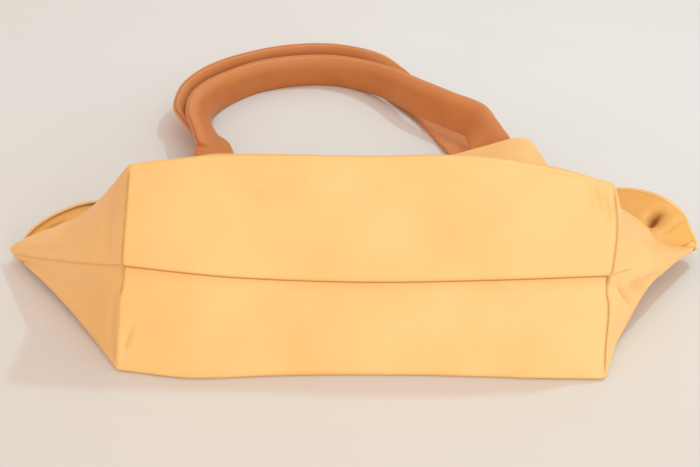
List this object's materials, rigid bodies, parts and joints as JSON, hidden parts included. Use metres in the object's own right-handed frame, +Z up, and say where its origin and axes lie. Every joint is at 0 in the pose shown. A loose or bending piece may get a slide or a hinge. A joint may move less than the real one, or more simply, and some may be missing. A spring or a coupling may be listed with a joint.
{
  "type": "leather bag",
  "caption": "Soft yellow leather tote bag lying on its front panel, with a boxed base, an open wide mouth and tan leather shoulder straps that swing.",
  "frame": {"origin": "on the floor under the middle of the front panel, which the bag lies on", "axes": "X along the base, from its left corner to its right one as seen from the base; Y from the base to the mouth and the straps; Z up from the floor"},
  "size_m": [0.5406, 0.5708, 0.1356],
  "materials": {
    "yellow_leather": "smooth soft leather with a dull sheen",
    "facing_leather": "smooth leather, orange yellow",
    "lining_cloth": "plain woven cloth",
    "base_board": "dull pressed board",
    "tan_leather": "smooth tan leather with a dull sheen"
  },
  "bodies": {
    "bag": {"front_panel": "yellow_leather", "back_panel": "yellow_leather", "front_lining": "lining_cloth", "back_lining": "lining_cloth", "front_facing": "facing_leather", "back_facing": "facing_leather", "base_board": "base_board", "back_left_foot_outer": "tan_leather", "back_left_foot_inner": "tan_leather", "back_right_foot_outer": "tan_leather", "back_right_foot_inner": "tan_leather", "front_left_foot_outer": "tan_leather", "front_left_foot_inner": "tan_leather", "front_right_foot_outer": "tan_leather", "front_right_foot_inner": "tan_leather"},
    "back_strap": {"back_strap_outer": "tan_leather", "back_strap_inner": "tan_leather"},
    "front_strap": {"front_strap_outer": "tan_leather", "front_strap_inner": "tan_leather"}
  },
  "joints": [
    {"name": "back_strap_swing", "type": "hinge", "parent": "bag", "child": "back_strap", "pos_m": [-0.00812, 0.1683, 0.02712], "axis": [0.9988, 0, 0.049], "range_deg": [0, 90]},
    {"name": "front_strap_swing", "type": "hinge", "parent": "bag", "child": "front_strap", "pos_m": [-0.01228, 0.1758, 0.0102], "axis": [1, 0, 0], "range_deg": [0, 72]}
  ],
  "couplings": [
    {"joint": "front_strap_swing", "follows": "back_strap_swing", "ratio": 0.8}
  ]
}
